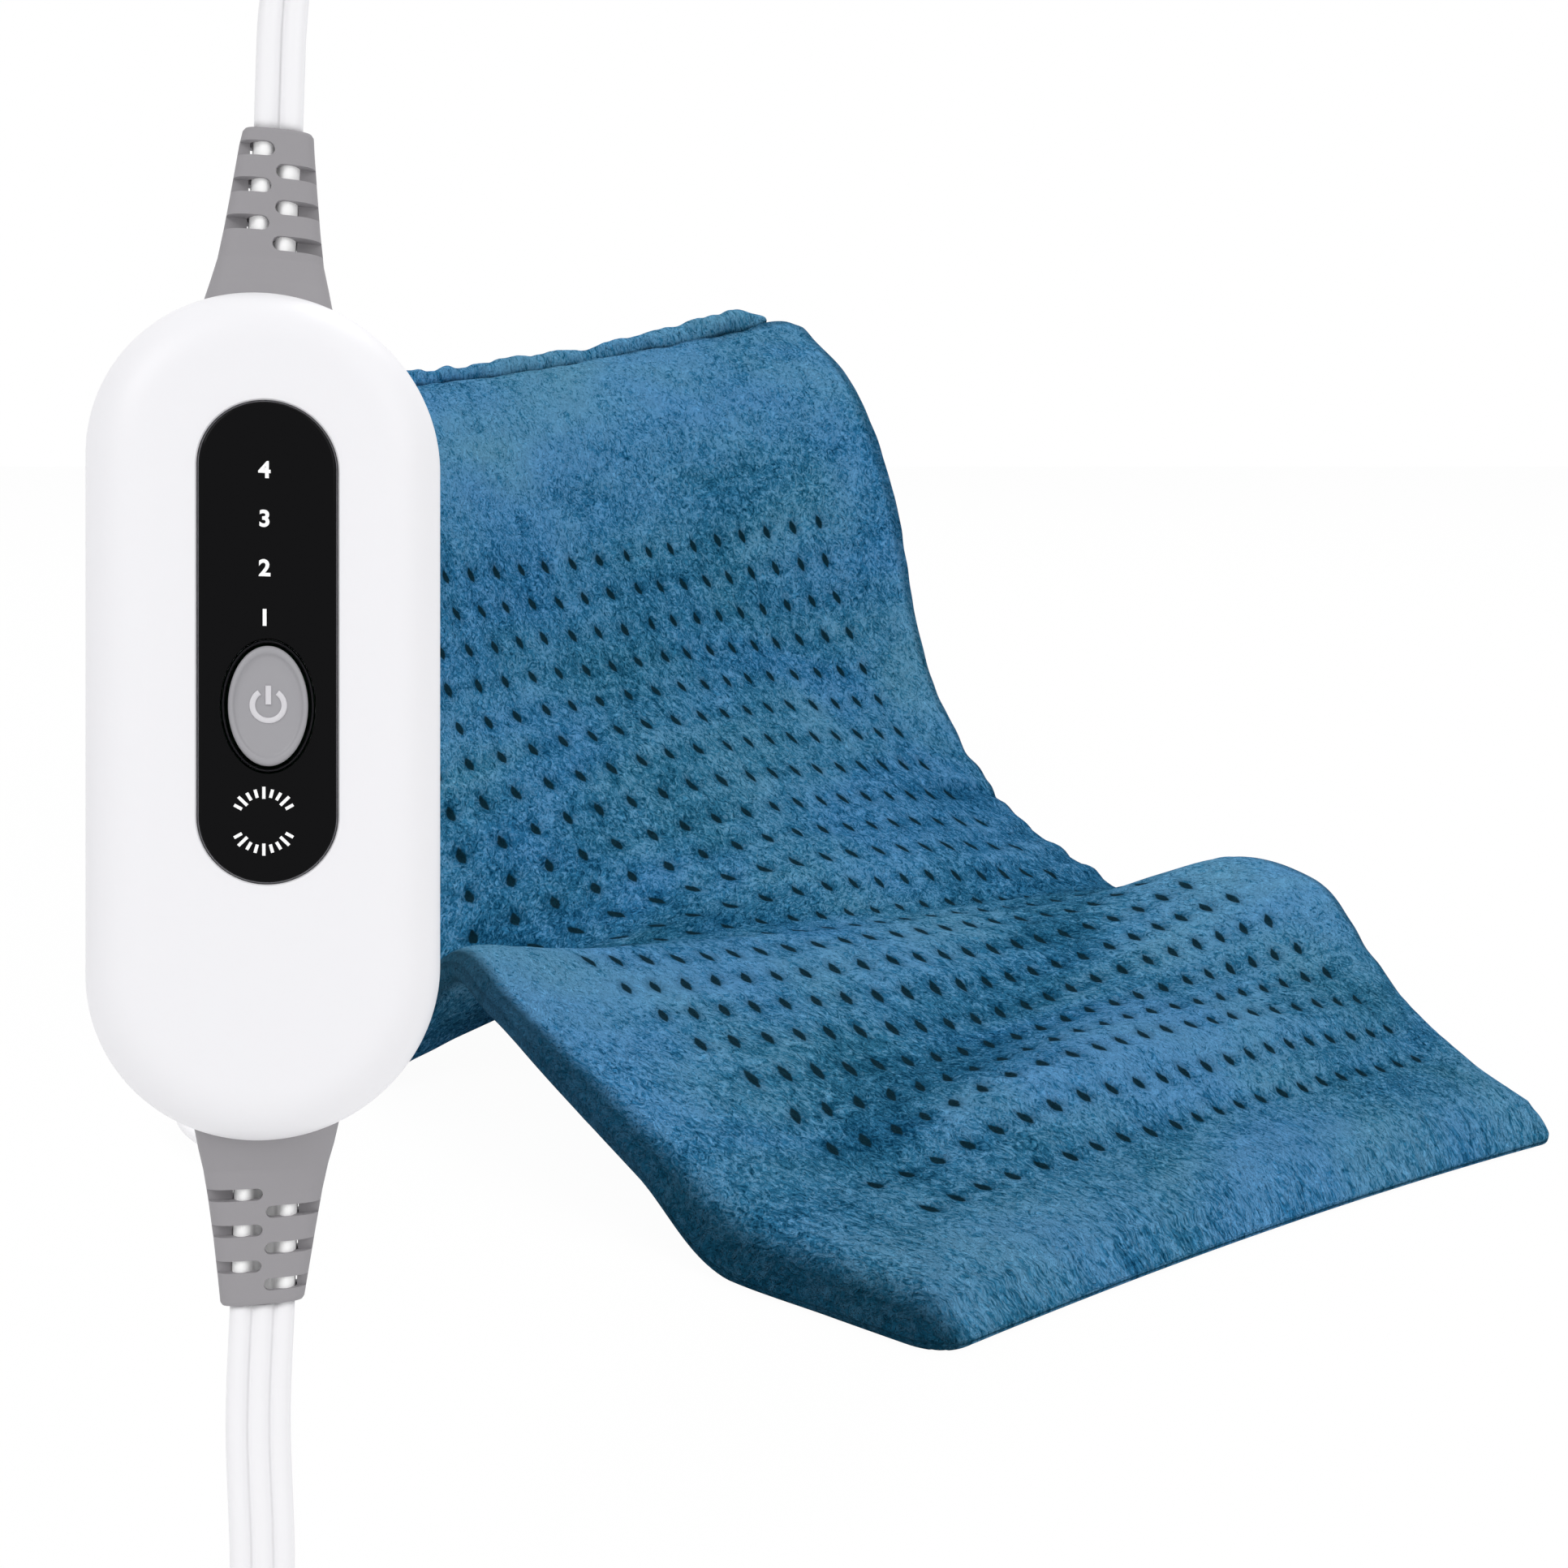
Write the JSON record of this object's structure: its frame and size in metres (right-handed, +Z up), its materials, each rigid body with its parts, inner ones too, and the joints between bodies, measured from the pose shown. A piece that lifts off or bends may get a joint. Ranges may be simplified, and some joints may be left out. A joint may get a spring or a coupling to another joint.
{
  "type": "heating pad with hand controller",
  "caption": "Blue plush electric heating pad lying in soft folds, joined by a flat lead to a white hanging hand controller with a black panel and a grey power button.",
  "frame": {"origin": "middle of the pad's front strip, where its underside rests on the surface", "axes": "+Z up from the surface, +Y away from the front, +X to the right"},
  "size_m": [0.5368, 0.7934, 0.3503],
  "materials": {
    "plush": "short blue plush pile",
    "white_shell": "satin",
    "panel_gloss": "polished",
    "button_grey": "satin",
    "dark_trim": "glossy",
    "grey_relief": "matte",
    "white_vinyl": "smooth soft vinyl",
    "board_green": "solder mask",
    "black_part": "matte",
    "yellow_part": "matte",
    "steel": "satin",
    "plate_silver": "printed film, blank",
    "blade_brass": "polished",
    "clear_plastic": "clear",
    "tie_fabric": "woven band",
    "carrier_cloth": "thin cloth",
    "heat_wire": "insulated wire"
  },
  "bodies": {
    "root": {"pad_entry_grommet": "grey_relief", "pad_lead_tail": "white_vinyl", "pad_thermostat_upper": "black_part", "pad_thermostat_lower": "black_part", "pad_top_cover": "plush", "pad_bottom_cover": "plush", "heater_carrier": "carrier_cloth", "heating_wire": "heat_wire", "pad_top_hem": "plush", "front_housing": "white_shell", "rear_housing": "white_shell", "rating_plate": "plate_silver", "display_panel": "panel_gloss", "button_collar": "dark_trim", "circuit_board": "board_green", "switch_body": "black_part", "switch_dome": "steel", "level_lamp_4": "clear_plastic", "level_lamp_3": "clear_plastic", "level_lamp_2": "clear_plastic", "level_lamp_1": "clear_plastic", "light_guide": "clear_plastic", "suppression_capacitor": "yellow_part", "triac": "black_part", "control_chip": "black_part", "terminal_block_upper": "white_vinyl", "terminal_block_lower": "white_vinyl", "thermal_fuse": "yellow_part", "case_screw_1": "steel", "case_screw_2": "steel", "case_screw_3": "steel", "case_screw_4": "steel", "upper_strain_relief": "grey_relief", "lower_strain_relief": "grey_relief", "mains_lead_end": "white_vinyl", "pad_lead_end": "white_vinyl", "lead_clamp_upper": "white_shell", "lead_clamp_lower": "white_shell", "mains_lead": "white_vinyl", "mains_coil": "white_vinyl", "coil_tie": "tie_fabric", "mains_plug_body": "white_shell", "plug_blade_1": "blade_brass", "plug_blade_2": "blade_brass", "lead_hanger": "steel", "pad_lead": "white_vinyl"},
    "button": {"power_button": "button_grey", "switch_plunger": "dark_trim"}
  },
  "joints": [
    {"name": "power_button_press", "type": "slide", "parent": "root", "child": "button", "axis": [-0.294, 0.9331, -0.2069], "range_m": [0, 0.0008], "stiffness_N_per_m": 350}
  ]
}
